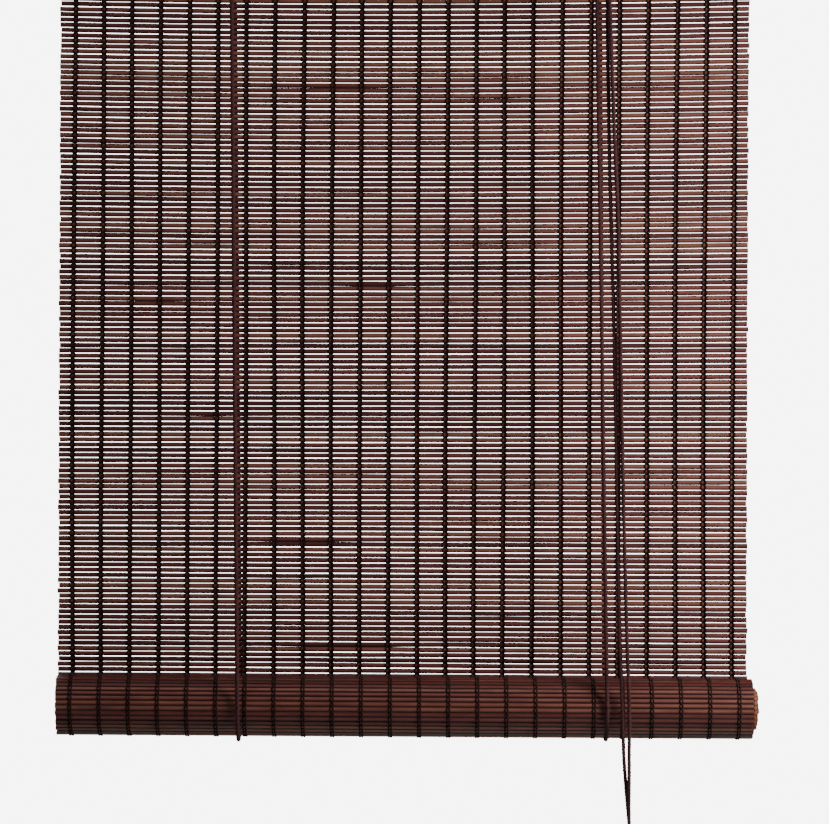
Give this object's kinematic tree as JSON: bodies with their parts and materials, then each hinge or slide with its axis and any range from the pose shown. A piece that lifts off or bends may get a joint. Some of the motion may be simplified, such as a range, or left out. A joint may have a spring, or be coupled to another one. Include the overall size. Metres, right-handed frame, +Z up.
{
  "type": "bamboo roll up blind",
  "caption": "Roll up window blind of dark bamboo slats bound by threads, partly rolled, hung from a head batten with lift cords, pulleys and a cord lock.",
  "frame": {"origin": "midway between the two wall screw holes, on the wall's plane", "axes": "+Y into the wall, +Z up, +X to the right as seen from the room"},
  "size_m": [0.6065, 0.0771, 1.0201],
  "materials": {
    "bamboo": "stained split bamboo, satin",
    "rod_wood": "plain dowel, matt",
    "thread": "dark twisted cotton",
    "batten_wood": "stained softwood, satin",
    "bracket_steel": "zinc plated, satin",
    "screw_steel": "zinc plated",
    "staple_steel": "bright wire",
    "cord": "dark brown twisted cotton",
    "tie_cord": "dark brown string",
    "pulley_steel": "pressed steel, satin",
    "sheave_plastic": "dark nylon, matt",
    "pin_steel": "bright steel",
    "cam_plastic": "dark nylon, matt",
    "acorn_wood": "turned wood, satin"
  },
  "bodies": {
    "head": {"mat_slats_upper": "bamboo", "mat_slats_lower": "bamboo", "front_threads_upper": "thread", "front_threads_lower": "thread", "back_threads_upper": "thread", "back_threads_lower": "thread", "head_batten": "batten_wood", "left_wall_bracket": "bracket_steel", "right_wall_bracket": "bracket_steel", "bracket_screws": "screw_steel", "pulley_screws": "screw_steel", "mat_staples": "staple_steel", "cord_anchor_staples": "staple_steel", "cord_end_knots": "cord", "left_pulley_bracket": "pulley_steel", "left_pulley_pin": "pin_steel", "lock_housing": "pulley_steel", "lock_sheave_pin": "pin_steel", "lock_cam_pin": "pin_steel", "left_cord_back_run": "cord", "left_cord_front_run": "cord", "left_header_cord": "cord", "right_cord_back_run": "cord", "right_cord_front_run": "cord", "right_header_cord": "cord", "pull_cord_left": "cord", "pull_cord_right": "cord", "pull_cord_hank": "cord", "hank_tie": "tie_cord", "cord_acorn": "acorn_wood", "cord_knot": "cord"},
    "carriage": {"left_cord_loop": "cord", "right_cord_loop": "cord"},
    "roll": {"rolled_mat": "bamboo", "bottom_rod": "rod_wood"},
    "left_sheave": {"left_pulley_sheave": "sheave_plastic"},
    "rear_sheave": {"lock_rear_sheave": "sheave_plastic"},
    "front_sheave": {"lock_front_sheave": "sheave_plastic"},
    "cam": {"lock_cam": "cam_plastic"}
  },
  "joints": [
    {"name": "roll_lift", "type": "slide", "parent": "head", "child": "carriage", "axis": [0, 0, 1], "range_m": [0, 0.67858], "deforming": ["mat_slats_lower", "front_threads_lower", "back_threads_lower", "left_cord_back_run", "right_cord_back_run", "left_cord_front_run", "right_cord_front_run"]},
    {"name": "roll_spin", "type": "hinge", "parent": "carriage", "child": "roll", "pos_m": [0, -0.0351, -0.761], "axis": [1, 0, 0], "range_deg": [-1441, 1]},
    {"name": "left_sheave_spin", "type": "hinge", "parent": "head", "child": "left_sheave", "pos_m": [-0.143, -0.0674, -0.0225], "axis": [0, 1, 0], "range_deg": [-1, 15552.5]},
    {"name": "rear_sheave_spin", "type": "hinge", "parent": "head", "child": "rear_sheave", "pos_m": [0.169, -0.0674, -0.0225], "axis": [0, 1, 0], "range_deg": [-1, 15552.5]},
    {"name": "front_sheave_spin", "type": "hinge", "parent": "head", "child": "front_sheave", "pos_m": [0.169, -0.0724, -0.0225], "axis": [0, 1, 0], "range_deg": [-1, 15552.5]},
    {"name": "cam_release", "type": "hinge", "parent": "head", "child": "cam", "pos_m": [0.1809, -0.0699, -0.04], "axis": [0, 1, 0], "range_deg": [-45, 0]}
  ],
  "couplings": [
    {"joint": "roll_spin", "follows": "roll_lift", "rad_per_m": -37.037},
    {"joint": "left_sheave_spin", "follows": "roll_lift", "rad_per_m": 400},
    {"joint": "rear_sheave_spin", "follows": "roll_lift", "rad_per_m": 400},
    {"joint": "front_sheave_spin", "follows": "roll_lift", "rad_per_m": 400}
  ]
}
